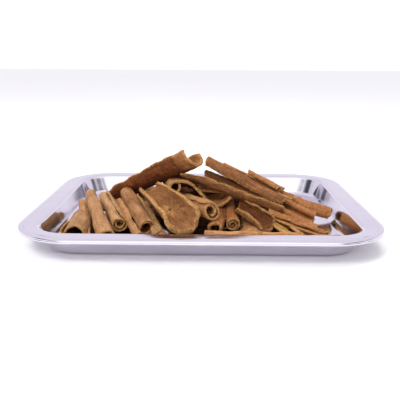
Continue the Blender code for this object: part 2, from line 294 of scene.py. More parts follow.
STRIPS = [
    Stick("edge_strip", trough(10, 110), (-104, -66, 6.9), (-102.4, -44, 9), 60, 0.9),
    Stick("edge_slab", trough(10, 90), (-37, -44, 8), (-55, 2, 20), 70, 0.9),
    Stick("low_chip", trough(11, 110), (-32.5, -64, 6.5), (-49, -12, 18), 150, 0.6),
    Stick("front_chip", trough(8, 100), (-26.5, -69, 5.4), (-33, -52, 7), 170, 0.5),
    Stick("shelf_strip", trough(9, 60, 1.6), (-3.8, -16, 31.5), (21, -11, 27.5), 20, 0.8),
    Stick("top_chip", trough(11, 70), (64.5, -1, 26.5), (80, -7, 20.6), 10, 0.9),
    Stick("low_strip", trough(8, 90), (56, -38, 12.3), (90, -62, 5.8), 150, 0.8),
    Stick("green_strip", trough(8, 70), (57.5, -44, 9.8), (71, -69, 6.2), 165, 1.3),
    Stick("corner_strip", trough(6, 100), (67.4, -44, 10), (79, -67, 6.4), 150, 0.85),
    Stick("front_strip", trough(8, 120), (81, -70, 7), (106, -65, 6.2), 180, 0.8),
]
SCOOP = [
    Stick("scoop_curl", trough(31, 175, 4.2), (-13.5, -57, 15), (-44, -17, 32), -14, 0.6, 2, 7),
]
TOP_CURL = [
    Stick("top_curl", trough(22, 190, 2.3), (-86, 36, 7.2), (-5, -15, 57.2), -13, 1.23, 1.5),
]
UNDERNEATH = [
    Stick("left_prop", quill(12, 1.3), (-102, 14, 7.5), (-50, 24, 9), 150, 0.9),
    Stick("left_floor_curl", trough(16, 170), (-84, -30, 7), (-48, 40, 7), 180, 0.9),
    Stick("back_floor_quill", quill(12, 1.4), (-72, 52, 7.4), (-8, 66, 7.6), 60, 0.95),
    Stick("back_left_quill", quill(11, 1.3), (-58, 22, 19), (-34, 64, 13), 190, 0.9),
    Stick("back_pair", pair(7, 11), (-30, 26, 26), (-6, 74, 12), 0, 0.9),
    Stick("back_trough", trough(18, 170), (-6, 20, 27), (22, 78, 7), 175, 0.9),
    Stick("back_long_quill", quill(11, 1.4, -1), (8, 82, 6.8), (78, 58, 6.8), 80, 0.95),
    Stick("back_right_quill", quill(13, 1.3), (26, 24, 25), (48, 72, 14), 20, 0.9),
    Stick("back_slab", trough(15, 90), (20, 42, 22), (70, 36, 14), 170, 0.8),
    Stick("right_prop", quill(12, 1.5), (56, 18, 14), (92, 42, 7.2), 200, 0.9),
    Stick("right_floor_quill", quill(12, 1.3, -1), (34, -8, 9), (94, 14, 7.2), 120, 0.95),
    Stick("right_floor_curl", trough(14, 160), (40, -24, 8), (92, -44, 6.5), 180, 0.85),
    Stick("scoop_prop", quill(12, 1.4), (-40, -18, 12), (-8, -32, 11), 60, 0.9),
    Stick("middle_prop", quill(12, 1.4), (-36, -8, 18), (24, 4, 20), 20, 1.0),
    Stick("peak_prop", quill(12, 1.3, -1), (-28, -2, 35), (34, 8, 32), 100, 0.9),
    Stick("saddle_quill", quill(11, 1.3), (12, 18, 32), (58, 44, 20), 140, 0.95),
    Stick("saddle_curl", trough(16, 170), (26, -2, 29), (72, 30, 15), 180, 0.9),
]

# How a piece looks: tone from 0, dark, to 1, pale, where the low tone of a piece that lies in shade is
# painted shade; warm from -1, olive, over 0, tan, to 1, russet; flap as how far the outer edge stands
# off, fray as how broken its edges are, and wavy as how far they curl
Look = namedtuple("Look", "tone warm flap fray wavy", defaults=(0.5, 0.5, 0.0, 1.0, 0.0))
PLAIN = Look(flap=0.3)

# How far the corners of a sheet are broken back. This and the next sizes are in millimetres.
CORNER = 1.6
# Waves in a sheet's sides and in its broken ends: the slow ones' length and the quick ones'
SIDE_WAVES = (16, 3.5)
END_WAVES = (12, 2.6)
# How deep the sides are broken for a break of 1 at the ends
SIDE_BREAK = 0.7
# Waves in a sheet, in its curling edges, in its thickness and along a loose edge, as their
# lengths across and along
SHEET_WAVE = (16, 26)
EDGE_WAVE = (30, 20)
WALL_WAVE = (7, 12)
LONG_WAVE = (40, 40)
# How far the broken sides and ends bulge, as shares of the sheet's thickness
SIDE_BULGE = 0.21
END_BULGE = 0.25
# The step that finds a section's direction
NUDGE = 0.2
# Relief on bark, each wave as its height and its lengths across and along
RIDGES = ((0.6, 2.4, 24), (0.5, 1.9, 60))
WARTS = ((0.5, 5, 3.4), (0.4, 9, 2.6))
GROOVES = ((0.6, 2.2, 20), (0.4, 8, 4))
# Where a piece has a knot: across the sheet from its left edge, and along from its start
KNOTS = {"scoop_curl": (20, 20)}

LOOKS = {
    "broad_quill": Look(0.4, 0.05, 0.3),
    "leaning_quill": Look(0.5, 0.22, 0.2),
    "leaning_roll": Look(0.5, 0.4),
    "flap_quill": Look(0.62, 0.1, 2.2),
    "thin_quill": Look(0.5, 0.3, 0.3),
    "tall_quill": Look(0.36, 0.25, 0.2),
    "edge_strip": Look(0.4, 0.1),
    "edge_slab": Look(0.4, -0.2),
    "low_chip": Look(0.4, -0.1),
    "scoop_curl": Look(0.46, 0.2, 0.0, 1.0, 0.3),
    "open_scroll": Look(0.4, 0.3),
    "short_quill": Look(0.5, 0.5, 0.3),
    # The low tones of low_quill and between_quill are painted shade: both lie low in shaded gaps between the
    # quills
    "low_quill": Look(0.3, 0.7, 0.2),
    "between_quill": Look(0.0, 0.6, 0.2),
    "knot_quill": Look(0.4, 0.8, 0.2),
    "cup_curl": Look(0.58, 0.7, 0.0, 1.0, 0.8),
    "broken_curl": Look(0.14, 0.1, 0.0, 1.5, 0.8),
    "arch_curl": Look(0.5, 0.5),
    # Tone below 0: painted shade on the curl that lies under the ridge quill
    "dark_curl": Look(-0.3, 0.7),
    "long_slab": Look(0.12, 0.5, 0.0, 1.0, 0.8),
    # Tone below 0: painted shade on the strip that lies under the long slab
    "shelf_strip": Look(-0.1, 0.5),
    "ridge_quill": Look(0.2, 0.55, 0.3),
    "ridge_roll": Look(0.4, 0.6),
    "ridge_pair": Look(0.42, 0.7),
    "back_quill": Look(0.48, 0.9, 0.3),
    "top_chip": Look(0.55, -0.1),
    "end_quill": Look(0.42, 0.8, 0.4),
    "end_pair": Look(0.42, 0.8),
    "low_ridge": Look(0.42, 0.75, 0.3),
    "low_strip": Look(0.3, 0.8),
    "green_strip": Look(0.5, -1.0),
    "corner_strip": Look(0.5, 0.4),
    "front_quill": Look(0.55, 0.45, 0.2),
    "front_strip": Look(0.55, 0.5),
    "top_curl": Look(0.5, 0.9, 0.0, 0.9, 1.0),
    # The sticks underneath get tones far below the rest as painted shade, so they show dark where gaps open
    # deep in the heap
    "middle_prop": Look(-0.9, 0.6, 0.3),
    "peak_prop": Look(-0.9, 0.6, 0.3),
    "scoop_prop": Look(-0.6, 0.6, 0.3),
    "saddle_curl": Look(0.1, 0.7, 0.3),
}

# The core under the sticks, as mounds: centre, half sizes and height
Mound = namedtuple("Mound", "x y half_x half_y height")
CORE = [
    Mound(2, 10, 44, 32, 18),
    Mound(56, -14, 28, 22, 7),
    Mound(-60, -10, 24, 26, 5),
]


def ripples(rng, x, y, across, along, count=7):
    """A smooth random surface of about unit height, with waves of these lengths."""
    total = np.zeros(np.broadcast(x, y).shape)
    for _ in range(count):
        turns_x = rng.uniform(-1, 1) * 2 * math.pi / across
        turns_y = rng.uniform(-1, 1) * 2 * math.pi / along
        total = total + np.sin(turns_x * x + turns_y * y + rng.uniform(0, 2 * math.pi))
    return total * math.sqrt(2 / count)


def relief_of(waves, rng, x, y):
    """Ripples of several sizes, each as its height and its lengths across and along."""
    return sum(height * ripples(rng, x, y, across, along) for height, across, along in waves)


def smooth_step(low, high, x):
    """0 below low, 1 above high and a soft rise between them."""
    share = np.clip((x - low) / (high - low), 0, 1)
    return share * share * (3 - 2 * share)


def axes_of(stick):
    """The stick's start, its length and its directions: across, up from it and along."""
    start = np.array(stick.start, float)
    run = np.array(stick.end, float) - start
    length = np.linalg.norm(run)
    along = run / length
    side = np.cross(along, (0, 0, 1))
    side /= np.linalg.norm(side)
    return start, length, side, np.cross(side, along), along


def ring_quads(count, steps):
    """Quads between rings of this many points, over these steps from ring to ring."""
    here = (np.arange(steps) * count)[:, None] + np.arange(count)
    beside = (np.arange(steps) * count)[:, None] + (np.arange(count) + 1) % count
    return np.stack([here, beside, beside + count, here + count], -1).reshape(-1, 4)


def sheet_quads(columns, rows):
    """Quads over a closed sheet: round its section from row to row, and over its two ends.

    A row of points runs over the outside, the far edge, the inside backwards and the near edge.
    The points in the middle of the two ends come after all the rows.
    """
    count = 2 * columns + 4
    quads = [ring_quads(count, rows)]
    column = np.arange(columns)
    opposite = 2 * columns + 2 - column
    ends = (rows + 1) * count
    for base, cap in ((0, ends), (rows * count, ends + columns + 1)):
        quads.append(np.stack([base + column, base + column + 1, cap + column + 1, cap + column], -1))
        quads.append(np.stack([cap + column, cap + column + 1, base + opposite - 1, base + opposite], -1))
        far, near = base + columns, base + count - 1
        quads.append([(far, far + 1, far + 2, cap + columns), (near - 1, near, base, cap)])
    return np.concatenate(quads, 0)


def bark_sheet(stick, step, sizes, rng):
    """One piece of bark as (points, quads, grain, look). Lengths are in millimetres."""
    seen = LOOKS.get(stick.name, PLAIN)
    line, wall, out = stick.section
    measured = np.concatenate([[0], np.cumsum(np.linalg.norm(np.diff(line, axis=0), axis=1))])
    width = measured[-1]
    start, length, side, up, along = axes_of(stick)
    columns = max(10, round(width / step))
    rows = max(12, round(length / step))
    s = np.linspace(0, 1, columns + 1)[:, None]
    t = np.linspace(0, 1, rows + 1)[None, :]

    def broken(place, coarse, fine):
        """How far a broken edge draws back along its length."""
        slow = ripples(rng, place, 0, coarse, coarse)
        quick = ripples(rng, place, 0, fine, fine)
        return sizes.fray / MM * seen.fray * np.clip(0.7 + 0.7 * slow + 0.22 * quick, 0, 2.5)

    # Across the sheet: u is measured along its section, between two broken sides
    near_side = SIDE_BREAK * broken(t * length, *SIDE_WAVES)
    far_side = SIDE_BREAK * broken(t * length, *SIDE_WAVES)
    u = near_side + (width - near_side - far_side) * s
    from_side = np.minimum(u - near_side, width - far_side - u)
    x, y = (np.interp(u, measured, line[:, axis]) for axis in (0, 1))
    tangent_x, tangent_y = (
        np.interp(u + NUDGE, measured, line[:, axis]) - np.interp(u - NUDGE, measured, line[:, axis])
        for axis in (0, 1)
    )
    size = np.maximum(np.hypot(tangent_x, tangent_y), 1e-6)
    tangent_x, tangent_y = tangent_x / size, tangent_y / size
    normal_x, normal_y = out * tangent_y, -out * tangent_x

    # Along the sheet: z runs between two broken ends with rounded corners
    roll = math.radians(stick.roll)
    right = x[:, :1] * math.cos(roll) + y[:, :1] * math.sin(roll)
    above = y[:, :1] * math.cos(roll) - x[:, :1] * math.sin(roll)
    bulge = stick.nose * (1 - (2 * s - 1) ** 2)
    slants = (stick.slant_start, stick.slant_end)
    slant_start, slant_end = (by[0] * right + by[1] * above for by in slants)
    corner = CORNER * seen.fray * (1 - smooth_step(0, 3 * CORNER, from_side))
    first = broken(s * width, *END_WAVES) - bulge - slant_start + corner
    last = length - broken(s * width, *END_WAVES) + slant_end - corner
    z = first + (last - first) * t
    reach = np.minimum(from_side, np.minimum(z - first, last - z))

    # Out of the sheet: slow waves, the wall's thickness and the relief on both faces
    slow = sizes.wave / MM * ripples(rng, u, z, *SHEET_WAVE)
    slow = slow + seen.flap * (1 - smooth_step(0, 7, u)) * (0.7 + 0.3 * ripples(rng, 0, z, *LONG_WAVE))
    slow = slow + seen.wavy * (1 - smooth_step(0, 9, from_side)) * ripples(rng, u, z, *EDGE_WAVE)
    thin = 0.8 + 0.2 * smooth_step(0, 1.0, from_side)
    thickness = 0.94 * wall * thin * (1 + 0.1 * ripples(rng, u, z, *WALL_WAVE))
    relief = sizes.relief / MM
    out_by = slow + thickness / 2 + relief * relief_of((*RIDGES, *WARTS), rng, u, z)
    in_by = slow - thickness / 2 + relief * relief_of(GROOVES, rng, u, z)

    scale = (1 + (stick.taper - 1) * z / length) * (1 + 0.02 * ripples(rng, 0, z, *LONG_WAVE))
    turn = roll + math.radians(rng.uniform(-4, 4)) * (t - 0.5)
    sway = 0.4 * np.sin(math.pi * t) * rng.uniform(-1, 1)
    lift = stick.bow * 4 * t * (1 - t)

    def placed(off, push_across=0.0, push_along=0.0):
        """Points this far out from the sheet's middle, pushed along it or off its ends."""
        px = (x + normal_x * off + tangent_x * push_across) * scale
        py = (y + normal_y * off + tangent_y * push_across) * scale
        on_side = px * np.cos(turn) + py * np.sin(turn) + sway
        on_up = py * np.cos(turn) - px * np.sin(turn) + lift
        run = z + push_along
        return start + on_side[..., None] * side + on_up[..., None] * up + run[..., None] * along

    def ring(outside, far, inside, near):
        """The values round the section, from one over the outside to one at the near side."""
        return np.concatenate([outside, far, inside[::-1], near], 0)

    def by_rows(values):
        """The values of all the points, row after row."""
        return values.swapaxes(0, 1).reshape(-1, *values.shape[2:])

    far = placed(slow, SIDE_BULGE * wall)[-1:]
    near = placed(slow, -SIDE_BULGE * wall)[:1]
    shell = ring(placed(out_by), far, placed(in_by), near)
    mouth = placed(slow, 0, -END_BULGE * wall)[:, 0]
    tail = placed(slow, 0, END_BULGE * wall)[:, -1]
    points = np.concatenate([by_rows(shell), mouth, tail], 0)
    lowest = (TRAY_LOW[2] + SHEET_TOP) / MM
    points[:, 2] += max(lowest - points[:, 2].min(), 0)

    pale = 1 - smooth_step(0.1, 0.8 + 0.6 * np.abs(ripples(rng, u, z, 5, 5)), reach)
    shift = 0 if stick.name in KNOTS else rng.uniform(0, 400)
    ones = np.ones_like(u)
    halves = 0.5 * ones
    layer = ring(0 * ones, halves[-1:], ones, halves[:1])
    grain = [by_rows(np.stack([ring(u, u[-1:], u, u[:1]) + shift, ring(z, z[-1:], z, z[:1]), layer], -1))]
    for end in (0, -1):
        grain.append(np.stack([u[:, end] + shift, z[:, end], halves[:, end]], -1))
    pale = np.concatenate([by_rows(ring(pale, ones[-1:], pale, ones[:1])), np.ones(2 * (columns + 1))])
    look = np.stack([np.full_like(pale, seen.tone), np.full_like(pale, seen.warm), pale], -1)
    return points, sheet_quads(columns, rows), np.concatenate(grain, 0), look


def mesh_object(name, points, quads, attributes):
    """An object from arrays: points in millimetres, quads and vectors for each point."""
    mesh = bpy.data.meshes.new(name)
    mesh.vertices.add(len(points))
    mesh.vertices.foreach_set("co", (points * MM).astype(np.float32).ravel())
    mesh.loops.add(quads.size)
    mesh.loops.foreach_set("vertex_index", quads.astype(np.int32).ravel())
    mesh.polygons.add(len(quads))
    mesh.polygons.foreach_set("loop_start", np.arange(0, quads.size, 4, dtype=np.int32))
    for label, values in attributes.items():
        layer = mesh.attributes.new(label, "FLOAT_VECTOR", "POINT")
        layer.data.foreach_set("vector", values.astype(np.float32).ravel())
    mesh.update(calc_edges=True)
    mesh.validate()
    bm = bmesh.new()
    bm.from_mesh(mesh)
    bmesh.ops.recalc_face_normals(bm, faces=bm.faces)
    bm.to_mesh(mesh)
    bm.free()
    mesh.shade_smooth()
    mesh.set_sharp_from_angle(angle=math.radians(48))
    made = bpy.data.objects.new(name, mesh)
    bpy.context.scene.collection.objects.link(made)
    return made


def bark_object(name, sheets, material):
    """All these sheets as one piece of the heap."""
    points, quads, grain, look = zip(*sheets)
    firsts = np.cumsum([0, *(len(each) for each in points)])
    quads = [each + first for each, first in zip(quads, firsts)]
    points, quads, grain, look = (np.concatenate(each) for each in (points, quads, grain, look))
    made = mesh_object(name, points, quads, {"grain": grain, "look": look})
    made.data.materials.append(material)
    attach(made, ROOT)
    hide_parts(HEAP)
    return made


class Graph:
    """Short ways to add and join nodes."""

    def __init__(self, owner, main_node):
        owner.use_nodes = True
        self.owner = owner
        self.tree = owner.node_tree
        self.main = self.tree.nodes[main_node].inputs

    def feed(self, socket, value):
        """Joins the value to the socket, or sets it there."""
        if isinstance(value, bpy.types.NodeSocket):
            self.tree.links.new(value, socket)
        elif hasattr(socket.default_value, "__len__") and len(socket.default_value) == 4 and len(value) == 3:
            socket.default_value = (*value, 1)
        else:
            socket.default_value = value

    def node(self, kind, **settings):
        """A new node with these settings."""
        made = self.tree.nodes.new(kind)
        for key, value in settings.items():
            setattr(made, key, value)
        return made

    def result(self, kind, *values, **settings):
        """What a new node makes of these values, given in the order of its sockets."""
        made = self.node(kind, **settings)
        for socket, value in zip(made.inputs, values):
            self.feed(socket, value)
        return made.outputs[0]

    def attribute(self, name):
        """The vector that the mesh keeps under this name."""
        made = self.node("ShaderNodeAttribute", attribute_type="GEOMETRY", attribute_name=name)
        return made.outputs["Vector"]

    def place(self, kind="Object"):
        """Where a point is on the object, or which way it is seen in the surroundings."""
        return self.node("ShaderNodeTexCoord").outputs[kind]

    def split(self, vector):
        """The three parts of a vector."""
        parts = self.node("ShaderNodeSeparateXYZ")
        self.feed(parts.inputs[0], vector)
        return tuple(parts.outputs)

    def scaled(self, vector, by):
        """The vector stretched by three factors."""
        return self.result("ShaderNodeVectorMath", vector, by, operation="MULTIPLY")

    def noise(self, vector, by, detail=3.0, roughness=0.55):
        """Noise on the vector stretched by these three factors."""
        made = self.node("ShaderNodeTexNoise")
        self.feed(made.inputs["Vector"], self.scaled(vector, by))
        made.inputs["Scale"].default_value = 1
        made.inputs["Detail"].default_value = detail
        made.inputs["Roughness"].default_value = roughness
        return made.outputs[0]

    def math(self, operation, first, second=0.0):
        """One step of arithmetic."""
        return self.result("ShaderNodeMath", first, second, operation=operation)

    def times(self, *factors):
        """The product of all these values."""
        product = factors[0]
        for factor in factors[1:]:
            product = self.math("MULTIPLY", product, factor)
        return product

    def away_from(self, value, middle):
        """How far the value is from this middle."""
        return self.math("ABSOLUTE", self.math("SUBTRACT", value, middle))

    def remap(self, value, low, high, to_low=0.0, to_high=1.0):
        """A soft rise from one value at low to another at high."""
        values = (value, low, high, to_low, to_high)
        return self.result("ShaderNodeMapRange", *values, interpolation_type="SMOOTHSTEP")

    def add_up(self, *terms):
        """The sum of (value, factor) pairs."""
        total = 0.0
        for value, factor in terms:
            total = self.result("ShaderNodeMath", value, factor, total, operation="MULTIPLY_ADD")
        return total

    def mix(self, factor, first, second):
        """The first colour where the factor is 0 and the second where it is 1."""
        made = self.node("ShaderNodeMix", data_type="RGBA")
        self.feed(made.inputs[0], factor)
        self.feed(made.inputs[6], first)
        self.feed(made.inputs[7], second)
        return made.outputs[2]

    def ramp(self, factor, *stops):
        """A colour ramp through (place, colour) stops."""
        made = self.node("ShaderNodeValToRGB")
        self.feed(made.inputs[0], factor)
        elements = made.color_ramp.elements
        while len(elements) < len(stops):
            elements.new(0.5)
        for element, (place, color) in zip(elements, stops):
            element.position = place
            element.color = (*color, 1)
        return made.outputs[0]

    def bump(self, height, distance, strength=1.0, normal=None):
        """The surface tilted as if this height stood out of it."""
        made = self.node("ShaderNodeBump")
        made.inputs["Distance"].default_value = distance
        made.inputs["Strength"].default_value = strength
        self.feed(made.inputs["Height"], height)
        if normal:
            self.feed(made.inputs["Normal"], normal)
        return made.outputs[0]


def new_finish(name):
    """The graph of a new material."""
    return Graph(bpy.data.materials.new(name), "Principled BSDF")


def shade(color, by):
    """The colour made darker or lighter by a factor."""
    return tuple(min(value * by, 1) for value in color)


# Colours of single places: greenish bark, the wood round a knot and in it, and the dark curl's end
OLIVE = srgb(170, 130, 62)
KNOT_HALO = srgb(196, 146, 82)
KNOT_HEART = srgb(84, 50, 24)
PALE_END = srgb(166, 114, 68)

# Patterns in the bark: how fast each changes across the sheet, along it and from side to side,
# with its detail and roughness
PATTERNS = {
    "blotch": ((0.11, 0.06, 2.7), 3, 0.55),
    "streak": ((0.75, 0.07, 2.0), 4, 0.62),
    "fibre": ((3.4, 0.3, 4.0), 3, 0.6),
    "flecks": ((0.55, 0.42, 3.0), 5, 0.72),
    "crossing": ((0.22, 0.9, 2.0), 4, 0.65),
}
# How much each pattern counts: for the tone of the face, where their sum comes to the middle tone,
# for the tone of a broken edge, for the relief and for how matt the bark is
FACE_TONE = {"blotch": 0.75, "streak": 0.34, "fibre": 0.24, "flecks": 0.75, "crossing": 0.52}
MIDDLE_TONE = 1.27
CUT_TONE = {"fibre": 0.5, "flecks": 0.7}
RELIEF = {"streak": 0.8, "fibre": 0.45, "flecks": 0.35, "crossing": 0.3}
ROUGHNESS = {"fibre": 0.25, "flecks": 0.2}


def bark_tones(graph, place, color):
    """A ramp from the colour's deep shadow tone to its dusty highlight."""
    deep, low, high = (
        tuple(value * tint for value, tint in zip(color, tints))
        for tints in ((0.26, 0.19, 0.14), (0.62, 0.54, 0.46), (1.4, 1.42, 1.5))
    )
    return graph.ramp(place, (0.0, deep), (0.33, low), (0.6, color), (1.0, high))


def knotted(graph, grain, knot, face, crack):
    """The face and cracks of a sheet with a knot, where cracks run out from it through pale wood."""
    across, along, _ = graph.split(grain)
    across = graph.math("SUBTRACT", across, knot[0])
    along = graph.math("SUBTRACT", along, knot[1])
    away = graph.math("SQRT", graph.math("ADD", graph.times(across, across), graph.times(along, along)))
    turned = graph.math("ARCTAN2", across, along)
    round_knot = graph.add_up((turned, 2.6), (graph.noise(grain, (0.3, 0.3, 1.0)), 1.6))
    polar = graph.result("ShaderNodeCombineXYZ", round_knot, graph.times(away, 0.07))
    ray = graph.away_from(graph.noise(polar, (1.0, 1.0, 1.0), 2, 0.5), 0.5)
    rays = graph.times(graph.remap(ray, 0.008, 0.05, 1.0, 0.0), graph.remap(away, 12, 22, 1.0, 0.0))
    halo = graph.times(graph.remap(away, 3, 13, 0.75, 0.0), graph.remap(across, -3, 5, 1.0, 0.2))
    face = graph.mix(halo, face, KNOT_HALO)
    heart = graph.remap(away, 0.8, 2.2, 0.8, 0.0)
    return graph.mix(heart, face, KNOT_HEART), graph.math("MAXIMUM", crack, rays)


def bark_finish(name, sizes, outside_tan, outside_russet, inside, spots=None, knot=None, pale_from=None):
    """Bark: streaks and fibres along the sheet, blotches, thin cracks and pale broken edges.

    Spots of a second colour, a knot and a paler part from this many millimetres on are extras.
    """
    graph = new_finish(name)
    grain = graph.attribute("grain")
    layer = graph.split(grain)[2]
    tone, warm, pale = graph.split(graph.attribute("look"))
    patterns = {kind: graph.noise(grain, *pattern) for kind, pattern in PATTERNS.items()}

    def weighed(shares, *more):
        """The patterns added up by these shares, with more (value, factor) pairs."""
        return graph.add_up(*((patterns[kind], share) for kind, share in shares.items()), *more)

    split_line = graph.away_from(graph.noise(grain, (0.55, 0.035, 5.0), 2, 0.5), 0.5)
    crack = graph.remap(split_line, 0.002, 0.014, 1.0, 0.0)

    # The piece's tone moves it along the ramp, so a low tone given for shade paints shade here
    place = weighed(FACE_TONE, (tone, 1.0), (-1.0, MIDDLE_TONE))
    greenish = graph.remap(warm, 0.0, -1.0)
    cool = graph.mix(greenish, bark_tones(graph, place, outside_tan), bark_tones(graph, place, OLIVE))
    outer = graph.mix(graph.math("MAXIMUM", warm, 0.0), cool, bark_tones(graph, place, outside_russet))
    inner = bark_tones(graph, place, inside)
    facing_in = graph.remap(layer, 0.35, 0.65)
    face = graph.mix(facing_in, outer, inner)
    if spots:
        spot = graph.remap(graph.noise(grain, (0.16, 0.2, 2.0), 4, 0.6), 0.56, 0.68)
        face = graph.mix(graph.times(spot, 0.8), face, spots)
    if knot:
        face, crack = knotted(graph, grain, knot, face, crack)
    if pale_from:
        wander = graph.noise(grain, (0.12, 0.1, 1.0), 3)
        past = graph.add_up((graph.split(grain)[1], 1.0), (wander, 14.0), (1.0, -7.0 - pale_from))
        face = graph.mix(graph.remap(past, 0, 9, 0.0, 0.9), face, bark_tones(graph, place, PALE_END))
        stain = graph.remap(graph.math("ABSOLUTE", past), 0.5, 3.5, 0.75, 0.0)
        stain = graph.times(stain, graph.remap(wander, 0.42, 0.56))
        face = graph.mix(stain, face, shade(inside, 0.25))
    dust = graph.remap(graph.noise(grain, (1.9, 1.1, 6.0), 3, 0.7), 0.62, 0.78, 0.0, 0.35)
    face = graph.mix(dust, face, shade(outside_tan, 1.35))
    cut_place = weighed(CUT_TONE, (tone, 0.35), (1.0, -0.25))
    cut = bark_tones(graph, cut_place, tuple(sizes.cut))
    worn = graph.times(pale, graph.remap(patterns["flecks"], 0.3, 0.6, 0.35, 1.0))
    color = graph.mix(worn, face, cut)
    color = graph.mix(graph.times(crack, 0.6), color, shade(inside, 0.2))
    graph.feed(graph.main["Base Color"], color)

    graph.feed(graph.main["Roughness"], weighed(ROUGHNESS, (1.0, 0.5)))
    height = weighed(RELIEF, (crack, -0.35))
    graph.feed(graph.main["Normal"], graph.bump(height, 0.55 * MM))
    graph.main["Specular IOR Level"].default_value = 0.3
    return graph.owner


def steel_finish(sizes):
    """Polished stainless sheet, with faint rolling lines, soft dents and wiped patches."""
    graph = new_finish("polished steel")
    place = graph.place()
    wiped = graph.noise(place, (26, 34, 40), 4, 0.6)
    dents = graph.noise(place, (22, 22, 30), 2, 0.5)
    lines = graph.noise(place, (60, 2600, 2600), 2, 0.6)
    steel = tuple(sizes.color)
    tint = graph.add_up((wiped, 0.7), (lines, 0.3))
    color = graph.ramp(tint, (0.3, shade(steel, 0.93)), (0.7, shade(steel, 1.05)))
    graph.feed(graph.main["Base Color"], color)
    graph.feed(graph.main["Roughness"], graph.add_up((wiped, 0.14), (lines, 0.03), (1.0, 0.045)))
    soft = graph.bump(dents, 1.2 * MM, 0.5)
    graph.feed(graph.main["Normal"], graph.bump(lines, 0.01 * MM, 0.5, soft))
    graph.main["Metallic"].default_value = 1.0
    return graph.owner


def floor_finish(color):
    """A pale matt studio floor with a faint mottle."""
    graph = new_finish("pale floor")
    mottle = graph.noise(graph.place(), (3, 3, 3), 4, 0.6)
    graph.feed(graph.main["Base Color"], graph.ramp(mottle, (0.3, shade(color, 0.985)), (0.7, color)))
    graph.main["Roughness"].default_value = 1.0
    graph.main["Specular IOR Level"].default_value = 0.0
    return graph.owner


# Steps in the tray's bends and in its corners
BEND_STEPS = 8
CORNER_STEPS = 20
# How far down the lip its crease is, as a share of the lip
CREASE_AT = 0.62


def tray_profile(sizes, steps):
    """(inset, height) down the tray's upper side in metres: lip, rim, wall and floor."""
    height = TRAY_HIGH[2]
    crown = height - sizes.sag
    crease = height - CREASE_AT * sizes.lip_drop
    notch = sizes.notch
    lip = [(0, height - sizes.lip_drop), (0, crease - notch), (notch, crease), (0, crease + notch)]
    slope = math.atan2(height - sizes.sheet, sizes.wall_inset)
    rim_end = sizes.rim - sizes.rim_bend * math.tan(slope / 2)
    floor_start = sizes.rim + sizes.wall_inset + sizes.floor_bend * math.tan(slope / 2)
    wall_top = []
    wall_foot = []
    for k in range(steps + 1):
        quarter = math.radians(90 * k / steps)
        inset = sizes.lip_radius * (1 - math.cos(quarter))
        lip.append((inset, crown - sizes.lip_radius * (1 - math.sin(quarter))))
        turned = slope * k / steps
        drop = sizes.rim_bend * (1 - math.cos(turned))
        rise = sizes.floor_bend * (1 - math.cos(turned))
        wall_top.append((rim_end + sizes.rim_bend * math.sin(turned), height - drop))
        wall_foot.append((floor_start - sizes.floor_bend * math.sin(turned), sizes.sheet + rise))
    for k in range(1, steps):
        share = k / (steps - 1)
        inset = sizes.lip_radius + (sizes.bead - sizes.lip_radius) * share
        lip.append((inset, height - sizes.sag * (1 - share) ** 2))
    lip.append((sizes.bead + notch, height - notch))
    lip.append((sizes.bead + 2 * notch, height))
    return lip + wall_top + wall_foot[::-1]


def rounded_rectangle(inset, corner, steps):
    """Outline of the tray at this distance in from its outer edge, anticlockwise."""
    half_x, half_y = TRAY_HIGH[0] - inset, TRAY_HIGH[1] - inset
    points = []
    for quarter, (sx, sy) in enumerate(((1, 1), (-1, 1), (-1, -1), (1, -1))):
        for k in range(steps + 1):
            angle = math.radians(90 * (quarter + k / steps))
            x = sx * (half_x - corner) + corner * math.cos(angle)
            y = sy * (half_y - corner) + corner * math.sin(angle)
            points.append((x, y))
    return points


class CINNAMON_OT_tray(bpy.types.Operator):
    """Presses the tray from one sheet: lip, rim, wall and floor"""

    bl_idname = "cinnamon.tray"
    bl_label = "Steel tray"

    def execute(self, context):
        sizes = context.scene.cinnamon_tray
        bm = bmesh.new()
        rings = []
        for inset, height in tray_profile(sizes, BEND_STEPS):
            blend = min(inset / sizes.rim, 1)
            corner = sizes.outer_corner + (sizes.inner_corner - sizes.outer_corner) * blend
            outline = rounded_rectangle(inset, corner, CORNER_STEPS)
            rings.append([bm.verts.new((x, y, height)) for x, y in outline])
        for upper, lower in zip(rings, rings[1:]):
            count = len(upper)
            for k in range(count):
                after = (k + 1) % count
                bm.faces.new((upper[k], upper[after], lower[after], lower[k]))
        bm.faces.new(rings[-1])
        bm.normal_update()
        mesh = bpy.data.meshes.new("steel_tray")
        bm.to_mesh(mesh)
        bm.free()
        tray = bpy.data.objects.new("steel_tray", mesh)
        context.scene.collection.objects.link(tray)
        solidify = tray.modifiers.new("sheet", "SOLIDIFY")
        solidify.thickness = sizes.sheet
        solidify.offset = -1
        solidify.use_even_offset = True
        mesh.shade_smooth()
        mesh.set_sharp_from_angle(angle=math.radians(40))
        mesh.materials.append(steel_finish(sizes))
        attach(tray, ROOT)
        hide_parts(TRAY)
        return {"FINISHED"}


def common_bark(context):
    """The finish that most pieces share, made once."""
    made = bpy.data.materials.get("cinnamon bark")
    if made is None:
        sizes = context.scene.cinnamon_bark
        tan, russet, inside = tuple(sizes.tan), tuple(sizes.russet), tuple(sizes.inside)
        made = bark_finish("cinnamon bark", sizes, tan, russet, inside)
    return made


def make_sticks(context, name, sticks, seed, hidden=False, material=None):
    """Makes these sticks as one piece. The seed sets how each one is broken and wavy."""
    sizes = context.scene.cinnamon_bark
    rng = np.random.default_rng(seed)
    step = (sizes.hidden_step if hidden else sizes.mesh_step) / MM
    sheets = [bark_sheet(stick, step, sizes, rng) for stick in sticks]
    return bark_object(name, sheets, material or common_bark(context))


class CINNAMON_OT_left_quills(bpy.types.Operator):
    """Rolls the quills on the left, which lean away from the front edge"""

    bl_idname = "cinnamon.left_quills"
    bl_label = "Left quills"

    def execute(self, context):
        make_sticks(context, "left_quills", LEFT_QUILLS, 11)
        return {"FINISHED"}


